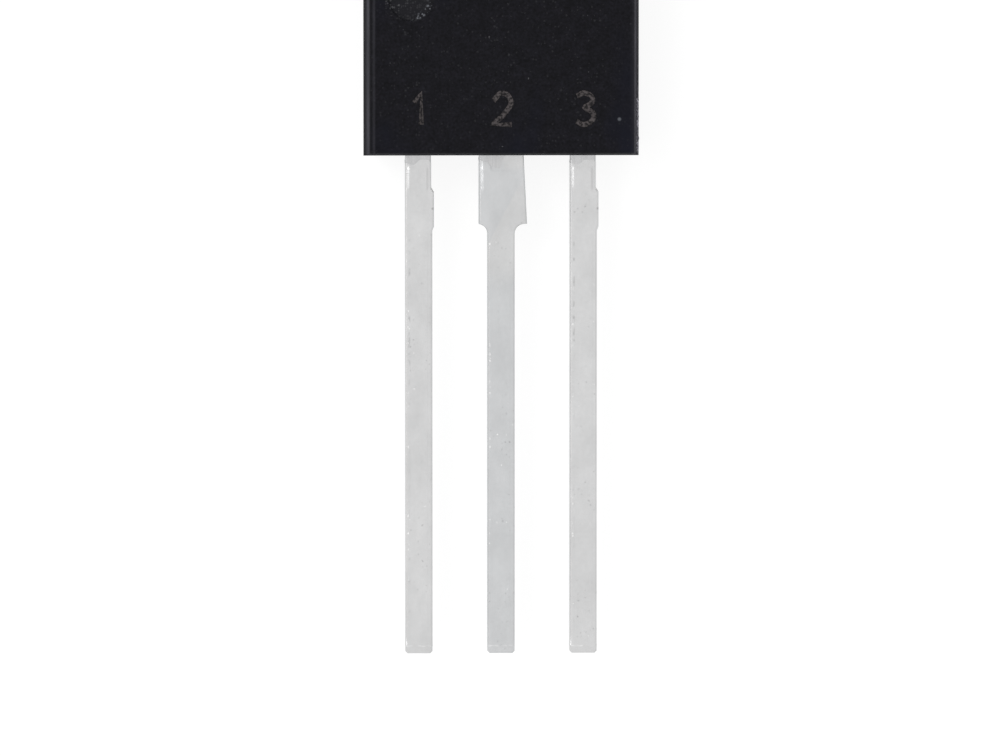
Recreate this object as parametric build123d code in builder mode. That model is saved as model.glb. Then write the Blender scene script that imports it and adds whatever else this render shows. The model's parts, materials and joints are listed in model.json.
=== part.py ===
from build123d import *
import os
from math import radians, tan

# Power transistor in a flat moulded package: a screw hole, a bare metal pad on the back and three
# leads in one row.  Millimetres.  It lies on its back: the pad is at Z = 0 and the front face up.
# The origin is where the axis of the screw hole meets the back; the leads point along -Y, and pin 1
# is at -X.

# ---- Moulded body
body_width = 7.65  # at the parting plane
body_length = 10.8  # at the parting plane
body_thickness = 2.7
hole_to_leads = 6.8  # from the screw hole's axis to the lower end
front_side_draft = 7.5  # degrees, the two long sides of the front half
front_end_draft = 5.0  # degrees, its two ends
back_draft = 5.0  # degrees, all round the back half
front_edge_radius = 0.13

hole_radius = 1.55  # clearance for an M3 screw
hole_lining = 0.5  # moulding between the screw and the pad
hole_edge_radius = 0.1

ejector_mark_radius = 0.63
ejector_mark_depth = 0.1
ejector_mark_side = 1.3  # from its centre to the left side
ejector_mark_rise = 4.41  # from its centre to the lower end

# ---- Leads, stamped from the thin part of the strip
lead_pitch = 2.29
lead_width = 0.75
lead_thickness = 0.5
lead_height = 1.05  # from the back of the body to the back of the leads
lead_length = 13.9  # outside the body
lead_edge_radius = 0.05  # rolled over by the punch, on the front
lead_tip_chamfer = 0.06

outer_root_width = 0.72  # between the body and the dam bar
dam_stub_start = 0.9  # what the shears leave of the dam bar, from the body
dam_stub_length = 1.2
dam_stub_slope = 0.12
dam_stub_proud = 0.045

collector_root_left = 0.615  # from the centre line of the lead
collector_root_right = 0.625
collector_shoulder_right = 0.72
shoulder_drop = 1.91  # from the body to the shoulder
shoulder_radius = 0.28

# ---- Bond posts, the inner ends of the outer leads
post_length = 1.15
post_side_cover = 0.62  # moulding outside the posts
post_gap = 0.7  # between the posts and the pad
neck_width = 1.27  # what joins the collector lead to the pad
neck_clearance = 0.5  # between the neck and the posts

# ---- Heat spreader pad, the thick part of the strip
pad_thickness = 1.2
pad_width = 5.3  # the bare face on the back
pad_end_cover = 0.8  # moulding above the bare face
pad_lock = 0.4  # the pad is wider inside the moulding, which grips it
pad_lock_height = 0.35
pad_corner_radius = 0.4
die_land = 2.0  # from the hole in the pad to its lower end

# ---- Die, its solder and the bond wires
die_side = 1.65
die_thickness = 0.28
solder_margin = 0.05
solder_thickness = 0.05
wire_diameter = 0.2
wire_loop_height = 0.55
wire_lift = 0.02  # between the round wire and what its flattened foot is bonded to
wire_tail = 0.12  # cut end beyond the foot
wire_foot_length = 0.42
wire_foot_width = 0.28
wire_foot_thickness = 0.12
base_bond_inset = 0.35  # from the die's left side
emitter_bond_inset = 0.5  # from the die's right side
base_bond_rise = 0.45  # from the die's lower side
emitter_bond_rise = 0.75

# ---- What follows from the sizes above
body_bottom = -hole_to_leads
body_top = body_bottom + body_length
body_middle = (body_top + body_bottom) / 2
lead_front = lead_height + lead_thickness
lead_tip = body_bottom - lead_length
pad_hole_radius = hole_radius + hole_lining
pad_top = body_top - pad_end_cover
pad_bottom = -pad_hole_radius - die_land
post_top = pad_bottom - post_gap
post_bottom = post_top - post_length
post_outside = body_width / 2 - post_side_cover
post_inside = neck_width / 2 + neck_clearance
post_middle = (post_inside + post_outside) / 2
die_middle = -pad_hole_radius - die_land / 2
die_bottom = die_middle - die_side / 2
solder_top = pad_thickness + solder_thickness
die_top = solder_top + die_thickness

os.makedirs("parts", exist_ok=True)


def punched_edges(lead):
    """Edges of a lead's front face outside the body, which the punch has rolled over."""
    front = lead.faces().filter_by(Axis.Z).group_by(Axis.Z)[-1].sort_by(SortBy.AREA)[-1]
    return front.edges().filter_by_position(Axis.Y, lead_tip, body_bottom)


def outer_lead(middle, side):
    """Base or emitter lead with its bond post; side is -1 for the left one and 1 for the right."""
    left = middle - lead_width / 2
    root_right = left + outer_root_width
    stem_right = left + lead_width
    stub_right = stem_right + dam_stub_proud
    stub_top = body_bottom - dam_stub_start
    stub_bottom = stub_top - dam_stub_length
    with BuildPart() as lead:
        with BuildSketch(Plane.XY.offset(lead_height)):
            with BuildLine():
                Polyline(
                    (left, post_bottom),
                    (left, lead_tip),
                    (stem_right, lead_tip),
                    (stem_right, stub_bottom),
                    (stub_right, stub_bottom + dam_stub_slope),
                    (stub_right, stub_top - dam_stub_slope),
                    (root_right, stub_top),
                    (root_right, post_bottom),
                    close=True,
                )
            make_face()
            with Locations((side * post_middle, (post_bottom + post_top) / 2)):
                Rectangle(post_outside - post_inside, post_length)
        extrude(amount=lead_thickness)
        tip = lead.edges().filter_by(Axis.Z).group_by(Axis.Y)[0]
        chamfer(tip, length=lead_tip_chamfer)
        fillet(punched_edges(lead), radius=lead_edge_radius)
    return lead.part


def bond_wire(start, end):
    """Wire from the die to a bond post, wedge-bonded at both ends; start and end are in plan."""
    reach = (Vector(*end) - Vector(*start)).length
    along = (Vector(*end) - Vector(*start)).normalized()
    low = wire_lift + wire_diameter / 2
    rise = lead_front - die_top
    end_run = wire_foot_length / 2 + wire_tail
    upright = Plane(origin=(*start, die_top), x_dir=along, z_dir=along.cross(Vector(0, 0, 1)))
    with BuildPart() as wire:
        with BuildLine(upright) as path:
            FilletPolyline(
                (-end_run, low),
                (wire_foot_length / 2, low),
                (reach / 3, low + wire_loop_height),
                (reach - wire_foot_length / 2, low + rise),
                (reach + end_run, low + rise),
                radius=wire_diameter,
            )
        with BuildSketch(Plane(origin=path.line @ 0, z_dir=path.line % 0)):
            Circle(wire_diameter / 2)
        sweep()
        with BuildSketch(Plane(origin=(*start, die_top), x_dir=along)):
            SlotOverall(wire_foot_length, wire_foot_width)
        extrude(amount=wire_foot_thickness)
        with BuildSketch(Plane(origin=(*end, lead_front), x_dir=along)):
            SlotOverall(wire_foot_length, wire_foot_width)
        extrude(amount=wire_foot_thickness)
    return wire.part


# Base and emitter leads: the posts stand either side of the neck, but both stubs are on the right.
base_lead = outer_lead(-lead_pitch, -1)
base_lead.label = "base_lead"
export_step(base_lead, "parts/base_lead.step")

emitter_lead = outer_lead(lead_pitch, 1)
emitter_lead.label = "emitter_lead"
export_step(emitter_lead, "parts/emitter_lead.step")

# Collector frame: the thick pad, the bent-up neck and the middle lead are one stamping.
neck_back = pad_thickness - lead_thickness
neck_top = pad_bottom + lead_thickness  # the neck starts inside the pad
neck_middle = (body_bottom + neck_top) / 2
window = lead_pitch - lead_width

with BuildPart() as collector_frame:
    with BuildSketch(Plane.YZ):
        with BuildLine():
            Polyline(
                (neck_top, pad_thickness),
                (pad_bottom, pad_thickness),
                (post_bottom, lead_front),
                (lead_tip, lead_front),
                (lead_tip, lead_height),
                (post_bottom, lead_height),
                (pad_bottom, neck_back),
                (neck_top, neck_back),
                close=True,
            )
        make_face()
    extrude(amount=lead_pitch, both=True)
    with BuildSketch():
        with BuildLine():
            Polyline(
                (-collector_root_left, body_bottom),
                (-collector_root_left, body_bottom - shoulder_drop - shoulder_radius),
                (collector_shoulder_right, body_bottom - shoulder_drop - shoulder_radius),
                (collector_shoulder_right, body_bottom - shoulder_drop),
                (collector_root_right, body_bottom),
                close=True,
            )
        make_face()
        # the punch takes the metal beside the thin stem, and its round corners leave the shoulder
        with Locations(
            (-lead_width / 2 - window / 2, body_bottom - shoulder_drop - window / 2),
            (lead_width / 2 + window / 2, body_bottom - shoulder_drop - window / 2),
        ):
            RectangleRounded(window, window, shoulder_radius, mode=Mode.SUBTRACT)
        with Locations((0, (body_bottom + lead_tip) / 2)):
            Rectangle(lead_width, lead_length)
        with Locations((0, neck_middle)):
            Rectangle(neck_width, neck_top - body_bottom)
    extrude(amount=lead_front, mode=Mode.INTERSECT)
    tip_edges = collector_frame.edges().filter_by(Axis.Z).group_by(Axis.Y)[0]
    chamfer(tip_edges, length=lead_tip_chamfer)
    fillet(punched_edges(collector_frame), radius=lead_edge_radius)
    with BuildSketch():
        with Locations((0, (pad_top + pad_bottom) / 2)):
            RectangleRounded(pad_width, pad_top - pad_bottom, pad_corner_radius)
    extrude(amount=pad_thickness)
    with BuildSketch(Plane.XY.offset(pad_lock_height)):
        with Locations((0, (pad_top + pad_lock + pad_bottom) / 2)):
            RectangleRounded(pad_width + 2 * pad_lock, pad_top + pad_lock - pad_bottom, pad_corner_radius)
    extrude(amount=pad_thickness - pad_lock_height)
    with Locations((0, 0, pad_thickness)):
        Hole(pad_hole_radius)

collector_frame.part.label = "collector_frame"
export_step(collector_frame.part, "parts/collector_frame.step")

# Solder and die, on the land between the pad's hole and its lower end.
with BuildPart() as die_solder:
    with BuildSketch(Plane.XY.offset(pad_thickness)):
        with Locations((0, die_middle)):
            Rectangle(die_side + 2 * solder_margin, die_side + 2 * solder_margin)
    extrude(amount=solder_thickness)

die_solder.part.label = "die_solder"
export_step(die_solder.part, "parts/die_solder.step")

with BuildPart() as silicon_die:
    with BuildSketch(Plane.XY.offset(solder_top)):
        with Locations((0, die_middle)):
            Rectangle(die_side, die_side)
    extrude(amount=die_thickness)

silicon_die.part.label = "silicon_die"
export_step(silicon_die.part, "parts/silicon_die.step")

# Bond wires, from the die's top to the middle of each post.
base_bond_wire = bond_wire(
    (-die_side / 2 + base_bond_inset, die_bottom + base_bond_rise),
    (-post_middle, (post_bottom + post_top) / 2),
)
base_bond_wire.label = "base_bond_wire"
export_step(base_bond_wire, "parts/base_bond_wire.step")

emitter_bond_wire = bond_wire(
    (die_side / 2 - emitter_bond_inset, die_bottom + emitter_bond_rise),
    (post_middle, (post_bottom + post_top) / 2),
)
emitter_bond_wire.label = "emitter_bond_wire"
export_step(emitter_bond_wire, "parts/emitter_bond_wire.step")

# Moulded body, cast round everything above.  The mould parts at the front of the leads, and both
# halves are drafted from there.
def drafted_outline(half_size, front_inset):
    """Six corners of a section through both mould halves, as points of half size across and height."""
    return [
        (-half_size + back_inset, 0),
        (-half_size, lead_front),
        (-half_size + front_inset, body_thickness),
        (half_size - front_inset, body_thickness),
        (half_size, lead_front),
        (half_size - back_inset, 0),
    ]


front_height = body_thickness - lead_front
side_inset = front_height * tan(radians(front_side_draft))
end_inset = front_height * tan(radians(front_end_draft))
back_inset = lead_front * tan(radians(back_draft))

with BuildPart() as mold_body:
    with BuildSketch(Plane.XZ):
        Polygon(*drafted_outline(body_width / 2, side_inset), align=None)
    extrude(amount=body_length, both=True)
    with BuildSketch(Plane.YZ):
        with Locations((body_middle, 0)):
            Polygon(*drafted_outline(body_length / 2, end_inset), align=None)
    extrude(amount=body_width, both=True, mode=Mode.INTERSECT)
    front_face = mold_body.faces().sort_by(Axis.Z)[-1]
    fillet(front_face.edges(), radius=front_edge_radius)
    with Locations((0, 0, body_thickness)):
        Hole(hole_radius)
    rims = mold_body.edges().filter_by(GeomType.CIRCLE).filter_by(lambda rim: rim.radius == hole_radius)
    fillet(rims.sort_by(Axis.Z)[-1], radius=hole_edge_radius)
    with BuildSketch(Plane.XY.offset(body_thickness)):
        with Locations((ejector_mark_side - body_width / 2, body_bottom + ejector_mark_rise)):
            Circle(ejector_mark_radius)
    extrude(amount=-ejector_mark_depth, mode=Mode.SUBTRACT)
    add(collector_frame.part, mode=Mode.SUBTRACT)
    add(base_lead, mode=Mode.SUBTRACT)
    add(emitter_lead, mode=Mode.SUBTRACT)
    add(die_solder.part, mode=Mode.SUBTRACT)
    add(silicon_die.part, mode=Mode.SUBTRACT)
    add(base_bond_wire, mode=Mode.SUBTRACT)
    add(emitter_bond_wire, mode=Mode.SUBTRACT)

mold_body.part.label = "mold_body"
export_step(mold_body.part, "parts/mold_body.step")
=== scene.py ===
"""Looks of a power transistor: a flat black moulding with a screw hole and three tinned leads.

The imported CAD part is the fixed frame, in metres. It lies on its back with the front face up, the
leads point along -Y and pin 1 is at -X. Every CAD node keeps its shape and gets a finish here. The
solder coat of the leads, the pin numbers and the mould's leftovers are new pieces around it.
"""

import json
import logging
import math
from collections.abc import Callable, Iterator
from contextlib import contextmanager
from dataclasses import dataclass
from enum import Enum
from functools import reduce
from itertools import pairwise
from typing import NamedTuple, Self

import bmesh
import bpy
from mathutils import Matrix, Vector

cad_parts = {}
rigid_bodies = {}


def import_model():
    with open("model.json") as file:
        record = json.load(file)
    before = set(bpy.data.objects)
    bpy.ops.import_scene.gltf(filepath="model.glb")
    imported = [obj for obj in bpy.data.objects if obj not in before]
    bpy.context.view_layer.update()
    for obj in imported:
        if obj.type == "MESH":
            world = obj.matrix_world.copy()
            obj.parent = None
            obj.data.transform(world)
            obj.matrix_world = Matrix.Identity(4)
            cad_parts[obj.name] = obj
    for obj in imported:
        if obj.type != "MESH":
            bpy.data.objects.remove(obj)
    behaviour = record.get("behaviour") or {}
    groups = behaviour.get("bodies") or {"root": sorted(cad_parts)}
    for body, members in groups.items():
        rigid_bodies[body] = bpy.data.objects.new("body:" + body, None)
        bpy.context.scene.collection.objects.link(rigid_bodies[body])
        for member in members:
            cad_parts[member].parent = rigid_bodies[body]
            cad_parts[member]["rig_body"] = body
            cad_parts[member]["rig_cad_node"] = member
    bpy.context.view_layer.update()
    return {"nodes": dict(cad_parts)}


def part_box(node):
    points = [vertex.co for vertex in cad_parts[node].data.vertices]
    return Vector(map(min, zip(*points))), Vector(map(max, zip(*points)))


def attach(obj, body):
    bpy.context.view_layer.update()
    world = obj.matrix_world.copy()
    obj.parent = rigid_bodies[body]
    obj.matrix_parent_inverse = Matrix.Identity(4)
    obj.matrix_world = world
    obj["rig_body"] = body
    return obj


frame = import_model()

MM = 0.001
PER_MM = 1 / MM
ROOT_BODY = "root"
MERGE_DISTANCE = 1e-7
FLAT_ANGLE = math.radians(0.5)
SMOOTH_ANGLE = math.radians(40)
LEAD_PITCH = 2.29 * MM
LEAD_HALF_WIDTH = 0.375 * MM
LOG = logging.getLogger("power_transistor")

Triple = tuple[float, float, float]
Colour = tuple[float, float, float, float]
Socket = bpy.types.NodeSocket
Number = float | Socket

WHITE: Colour = (1, 1, 1, 1)
TO_RIGHT: Triple = (1.0, 0.0, 0.0)
TO_TIPS: Triple = (0.0, -1.0, 0.0)
TO_FRONT: Triple = (0.0, 0.0, 1.0)


class Slot(Enum):
    """Names of two material slots of the record; the script doesn't use them."""

    MOULDING = "molding_compound"
    SOLDER = "solder"


def smooth_step(low: float, high: float, value: float) -> float:
    """Ease from 0 at low to 1 at high; high may be the smaller one.

    Args:
        low: Where the step starts.
        high: Where the step ends.
        value: The place asked for.

    Returns:
        The height of the step there, from 0 to 1.
    """
    share = min(max((value - low) / (high - low), 0.0), 1.0)
    return share * share * (3 - 2 * share)


# ---------------------------------------------------------------- bench work on meshes


def select_only(piece: bpy.types.Object) -> None:
    """Select one piece alone and make it the active one.

    Args:
        piece: What the next operator is to act on.
    """
    bpy.ops.object.select_all(action="DESELECT")
    piece.select_set(True)
    bpy.context.view_layer.objects.active = piece


@contextmanager
def editing(piece: bpy.types.Object) -> Iterator[None]:
    """Hold one piece in edit mode with face select, all of it selected at the start.

    Args:
        piece: The mesh object to shape.

    Yields:
        Nothing; the piece is in edit mode meanwhile.
    """
    select_only(piece)
    bpy.ops.object.mode_set(mode="EDIT")
    bpy.ops.mesh.select_mode(type="FACE")
    bpy.ops.mesh.select_all(action="SELECT")
    yield
    bpy.ops.object.mode_set(mode="OBJECT")


def select_faces(piece: bpy.types.Object, test: Callable[[Vector], bool]) -> None:
    """Select the faces of the piece in edit mode whose centres pass a test.

    Args:
        piece: The mesh object in edit mode.
        test: Takes a face's centre, says whether it is wanted.
    """
    mesh = bmesh.from_edit_mesh(piece.data)
    for face in mesh.faces:
        face.select_set(test(face.calc_center_median()))
    mesh.select_flush_mode()
    bmesh.update_edit_mesh(piece.data)


def cut(place: Vector, normal: Vector, drop_far_side: bool = False) -> None:
    """Cut what is selected in edit mode along a plane.

    Args:
        place: A point of the plane.
        normal: The plane's normal.
        drop_far_side: Whether what lies on the normal's side goes.
    """
    bpy.ops.mesh.bisect(
        plane_co=place, plane_no=normal, clear_outer=drop_far_side, threshold=MERGE_DISTANCE
    )


def cut_everywhere(places: list[float], axis: Vector) -> None:
    """Cut the whole mesh in edit mode across an axis, at each place along it.

    Args:
        places: Distances along the axis.
        axis: Unit vector that the cuts are square to.
    """
    for place in places:
        bpy.ops.mesh.select_all(action="SELECT")
        cut(axis * place, axis)


def apply_modifier(piece: bpy.types.Object, kind: str, **settings: object) -> None:
    """Add a modifier to a piece and apply it.

    Args:
        piece: The mesh object.
        kind: Blender's name for the modifier's type.
        **settings: Its properties.
    """
    select_only(piece)
    modifier = piece.modifiers.new(kind.title(), kind)
    for name, value in settings.items():
        setattr(modifier, name, value)
    bpy.ops.object.modifier_apply(modifier=modifier.name)


def copy_of_node(node: str, name: str) -> bpy.types.Object:
    """Copy a CAD node's mesh as a new piece, its loose triangles merged into plain faces.

    Args:
        node: The CAD node.
        name: The new piece's name.

    Returns:
        The new object, free of any body.
    """
    select_only(frame["nodes"][node])
    bpy.ops.object.duplicate()
    piece = bpy.context.view_layer.objects.active
    piece.parent = None
    piece.name = piece.data.name = name
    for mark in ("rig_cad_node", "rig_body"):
        del piece[mark]
    if piece.data.has_custom_normals:
        bpy.ops.mesh.customdata_custom_splitnormals_clear()
    with editing(piece):
        bpy.ops.mesh.remove_doubles(threshold=MERGE_DISTANCE)
        bpy.ops.mesh.dissolve_limited(angle_limit=FLAT_ANGLE)
    return piece


def weigh(piece: bpy.types.Object, name: str, weight: Callable[[Vector], float]) -> None:
    """Give a piece a vertex group, with a weight from each point's place.

    Args:
        piece: The mesh object.
        name: The new group's name.
        weight: Takes a point's place and gives its weight.
    """
    group = piece.vertex_groups.new(name=name)
    for vertex in piece.data.vertices:
        group.add([vertex.index], weight(vertex.co), "REPLACE")


# ---------------------------------------------------------------- shader nodes


def spaced(values: dict[str, Number]) -> dict[str, Number]:
    """Name the values as sockets are named, with spaces for underscores."""
    return {name.replace("_", " "): value for name, value in values.items()}


class NodeBench:
    """Adds nodes to one tree, wires them and lays them out from left to right."""

    column_width = 180
    row_height = 40
    rows = 5

    def __init__(self, tree: bpy.types.NodeTree) -> None:
        """Take an empty tree."""
        self.tree = tree

    @classmethod
    def on(cls, owner: bpy.types.Material | bpy.types.World) -> Self:
        """Empty the node tree of a material or world and start work on it.

        Args:
            owner: The material or world.

        Returns:
            The bench.
        """
        owner.use_nodes = True
        owner.node_tree.nodes.clear()
        return cls(owner.node_tree)

    def add(self, kind: str, inputs: dict | None = None, **settings: object) -> bpy.types.Node:
        """Add one node.

        Args:
            kind: Blender's name for the node's type.
            inputs: A value or another node's output for each named or numbered input.
            **settings: The node's properties.

        Returns:
            The new node.
        """
        count = len(self.tree.nodes)
        node = self.tree.nodes.new(kind)
        node.location = (self.column_width * count, -self.row_height * (count % self.rows))
        for name, value in settings.items():
            setattr(node, name, value)
        for name, value in (inputs or {}).items():
            if isinstance(value, Socket):
                self.tree.links.new(value, node.inputs[name])
            else:
                node.inputs[name].default_value = value
        return node

    def math(self, operation: str, *values: Number, clamp: bool = False) -> Socket:
        """Work out one number from others, kept from 0 to 1 if clamped."""
        inputs = dict(enumerate(values))
        return self.add("ShaderNodeMath", inputs, operation=operation, use_clamp=clamp).outputs[0]

    def times(self, *values: Number) -> Number:
        """Multiply all the values."""
        return reduce(lambda first, second: self.math("MULTIPLY", first, second), values)

    def most(self, *values: Number) -> Number:
        """Give the greatest of the values."""
        return reduce(lambda first, second: self.math("MAXIMUM", first, second), values)

    def within(self, value: Number) -> Socket:
        """Keep a value from 0 to 1."""
        return self.math("ADD", value, 0.0, clamp=True)

    def vector(self, operation: str, *values: Triple | Socket) -> bpy.types.NodeOutputs:
        """Work out a "Vector", or a number as "Value", from vectors."""
        inputs = dict(enumerate(values))
        return self.add("ShaderNodeVectorMath", inputs, operation=operation).outputs

    def blend(self, share: Number, first: Colour | Socket, second: Colour | Socket) -> Socket:
        """Blend from a first colour to a second, as far as the share says."""
        inputs = {0: share, 6: first, 7: second}
        return self.add("ShaderNodeMix", inputs, data_type="RGBA").outputs[2]

    def between(self, share: Number, first: Number, second: Number) -> Socket:
        """Blend from a first number to a second, as far as the share says."""
        inputs = {0: share, 2: first, 3: second}
        return self.add("ShaderNodeMix", inputs, data_type="FLOAT").outputs[0]

    def ease(
        self, value: Number, low: Number, high: Number, start: float = 0.0, end: float = 1.0
    ) -> Socket:
        """Ease from start, where value is low, to end, where value is high."""
        inputs = {"Value": value, "From Min": low, "From Max": high, "To Min": start, "To Max": end}
        return self.add("ShaderNodeMapRange", inputs, interpolation_type="SMOOTHSTEP").outputs[0]


class SurfaceEffect:
    """A shader node group that several finishes lay on, each with its own values."""

    title = ""
    values: dict[str, float] = {}
    results: tuple[str, ...] = ()

    @classmethod
    def group(cls) -> bpy.types.NodeTree:
        """Build the group the first time it is asked for.

        Returns:
            The group's tree.
        """
        found = bpy.data.node_groups.get(cls.title)
        if found is not None:
            return found
        tree = bpy.data.node_groups.new(cls.title, "ShaderNodeTree")
        tree.interface.new_socket("Place", in_out="INPUT", socket_type="NodeSocketVector")
        for name, value in cls.values.items():
            socket = tree.interface.new_socket(name, in_out="INPUT", socket_type="NodeSocketFloat")
            socket.default_value = value
        for name in cls.results:
            tree.interface.new_socket(name, in_out="OUTPUT", socket_type="NodeSocketFloat")
        bench = NodeBench(tree)
        made = cls.build(bench, bench.add("NodeGroupInput").outputs)
        bench.add("NodeGroupOutput", dict(zip(cls.results, made, strict=True)))
        return tree

    @classmethod
    def build(cls, bench: NodeBench, entry: bpy.types.NodeOutputs) -> list[Socket]:
        """Wire the inside of the group; each effect has its own."""
        raise NotImplementedError


class Mottle(SurfaceEffect):
    """Uneven tone: grain when it is fine, clouds and stains when it is coarse."""

    title = "mottle"
    values = {"Grains per mm": 1.0, "Detail": 3.0, "Stretch": 1.0, "Low": 0.0, "High": 1.0}
    results = ("Level", "Height")
    noise_range = (0.28, 0.72)

    @classmethod
    def build(cls, bench: NodeBench, entry: bpy.types.NodeOutputs) -> list[Socket]:
        """Stretch the place along Y, read noise there and spread it from Low to High.

        Args:
            bench: The group's bench.
            entry: The group's inputs.

        Returns:
            The level and the bare noise.
        """
        along = bench.math("DIVIDE", 1.0, entry["Stretch"])
        stretch = bench.add("ShaderNodeCombineXYZ", {"X": 1.0, "Y": along, "Z": 1.0}).outputs[0]
        place = bench.vector("MULTIPLY", entry["Place"], stretch)["Vector"]
        scale = bench.times(entry["Grains per mm"], PER_MM)
        inputs = {"Vector": place, "Scale": scale, "Detail": entry["Detail"]}
        noise = bench.add("ShaderNodeTexNoise", inputs).outputs["Fac"]
        low, high = cls.noise_range
        spread = {"From Min": low, "From Max": high, "To Min": entry["Low"], "To Max": entry["High"]}
        level = bench.add("ShaderNodeMapRange", {"Value": noise, **spread}).outputs[0]
        return [level, noise]


class Specks(SurfaceEffect):
    """Scattered small spots: a share of the cells of a loose grid has one each."""

    title = "specks"
    values = {"Cells per mm": 1.0, "Size": 0.2, "Share": 0.1}
    results = ("Mask",)
    edge_fineness = 3.0
    edge_push = 0.9
    least_size = 0.35
    core = 0.4

    @classmethod
    def build(cls, bench: NodeBench, entry: bpy.types.NodeOutputs) -> list[Socket]:
        """Keep the ragged middles of the cells whose random number is below the share.

        Args:
            bench: The group's bench.
            entry: The group's inputs.

        Returns:
            The mask of the spots.
        """
        scale = bench.times(entry["Cells per mm"], PER_MM)
        finer = bench.times(scale, cls.edge_fineness)
        inputs = {"Vector": entry["Place"], "Scale": finer, "Detail": 2.0}
        noise = bench.add("ShaderNodeTexNoise", inputs).outputs["Color"]
        push = bench.vector("SUBTRACT", noise, (0.5, 0.5, 0.5))["Vector"]
        reach = bench.math("DIVIDE", cls.edge_push, scale)
        ragged = bench.vector("MULTIPLY_ADD", push, reach, entry["Place"])["Vector"]
        cells = bench.add("ShaderNodeTexVoronoi", {"Vector": ragged, "Scale": scale}).outputs
        draw = bench.add("ShaderNodeSeparateColor", {0: cells["Color"]}).outputs
        chosen = bench.math("LESS_THAN", draw[0], entry["Share"])
        size = bench.times(entry["Size"], bench.math("ADD", draw[1], cls.least_size))
        spot = bench.ease(cells["Distance"], size, bench.times(size, cls.core))
        return [bench.times(spot, chosen)]


class SoftBand(SurfaceEffect):
    """A soft-edged zone between two places along one axis of the piece, in millimetres."""

    title = "soft_band"
    values = {"Along X": 0.0, "Along Y": 0.0, "Along Z": 0.0, "From": 0.0, "To": 1.0, "Blur": 0.05}
    results = ("Mask",)

    @classmethod
    def build(cls, bench: NodeBench, entry: bpy.types.NodeOutputs) -> list[Socket]:
        """Measure along the axis and ease in and out at the two ends.

        Args:
            bench: The group's bench.
            entry: The group's inputs.

        Returns:
            The mask of the zone.
        """
        inputs = {"X": entry["Along X"], "Y": entry["Along Y"], "Z": entry["Along Z"]}
        axis = bench.add("ShaderNodeCombineXYZ", inputs).outputs[0]
        distance = bench.times(bench.vector("DOT_PRODUCT", entry["Place"], axis)["Value"], PER_MM)
        start = bench.ease(distance, entry["From"], bench.math("ADD", entry["From"], entry["Blur"]))
        end = bench.ease(distance, entry["To"], bench.math("SUBTRACT", entry["To"], entry["Blur"]))
        return [bench.times(start, end)]


class Nearness(SurfaceEffect):
    """Distance of the surface from an upright line at X and Y, in millimetres."""

    title = "nearness"
    values = {"X": 0.0, "Y": 0.0}
    results = ("Distance", "Across", "Along")

    @classmethod
    def build(cls, bench: NodeBench, entry: bpy.types.NodeOutputs) -> list[Socket]:
        """Measure from the line, flat on the XY plane.

        Args:
            bench: The group's bench.
            entry: The group's inputs.

        Returns:
            The distance, and its parts across and along the part.
        """
        parts = bench.add("ShaderNodeSeparateXYZ", {0: entry["Place"]}).outputs
        across, along = (
            bench.math("SUBTRACT", bench.times(parts[axis], PER_MM), entry[axis]) for axis in "XY"
        )
        flat = bench.add("ShaderNodeCombineXYZ", {"X": across, "Y": along, "Z": 0.0}).outputs[0]
        return [bench.vector("LENGTH", flat)["Value"], across, along]


class Grain(NamedTuple):
    """What a mottle gives: its level for colours and roughness, its height for bumps."""

    level: Socket
    height: Socket


class Skin(NodeBench):
    """The bench of one material, which lays the shared effects over the piece that wears it."""

    def __init__(self, tree: bpy.types.NodeTree) -> None:
        """Start with the place on the piece."""
        super().__init__(tree)
        self.place = self.add("ShaderNodeTexCoord").outputs["Object"]

    def lay(self, effect: type[SurfaceEffect], **values: Number) -> bpy.types.NodeOutputs:
        """Put an effect's group into the material, with values for its inputs."""
        inputs = {"Place": self.place} | spaced(values)
        return self.add("ShaderNodeGroup", inputs, node_tree=effect.group()).outputs

    def mottle(self, per_mm: float, low: float = 0.0, high: float = 1.0, **values: float) -> Grain:
        """Lay uneven tone from low to high, with so many grains per millimetre."""
        return Grain(*self.lay(Mottle, Grains_per_mm=per_mm, Low=low, High=high, **values))

    def specks(self, per_mm: float, size: float, share: float) -> Socket:
        """Mask specks: cells per millimetre, size in cells, and share of cells with a speck."""
        return self.lay(Specks, Cells_per_mm=per_mm, Size=size, Share=share)["Mask"]

    def band(self, axis: Triple, start: float, end: float, blur: float) -> Socket:
        """Mask what lies from start to end along an axis, in millimetres."""
        values = dict(zip(("Along_X", "Along_Y", "Along_Z"), axis, strict=True))
        return self.lay(SoftBand, From=start, To=end, Blur=blur, **values)["Mask"]

    def spot(self, x: float, y: float, edge: float, core: float, level: float = 1.0) -> Socket:
        """Mask a round spot that ends at its edge and has its full level inside its core."""
        return self.ease(self.lay(Nearness, X=x, Y=y)["Distance"], edge, core, 0.0, level)

    def bump(self, height: Socket, depth: float, strength: float = 1.0) -> Socket:
        """Turn a height into the shader's normal."""
        inputs = {"Height": height, "Distance": depth, "Strength": strength}
        return self.add("ShaderNodeBump", inputs).outputs[0]

    def principled(self, colour: Socket, rough: Socket, **values: Number) -> bpy.types.Node:
        """Add the shader, with values for its other inputs."""
        inputs = {"Base Color": colour, "Roughness": rough} | spaced(values)
        return self.add("ShaderNodeBsdfPrincipled", inputs)


# ---------------------------------------------------------------- finishes


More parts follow.
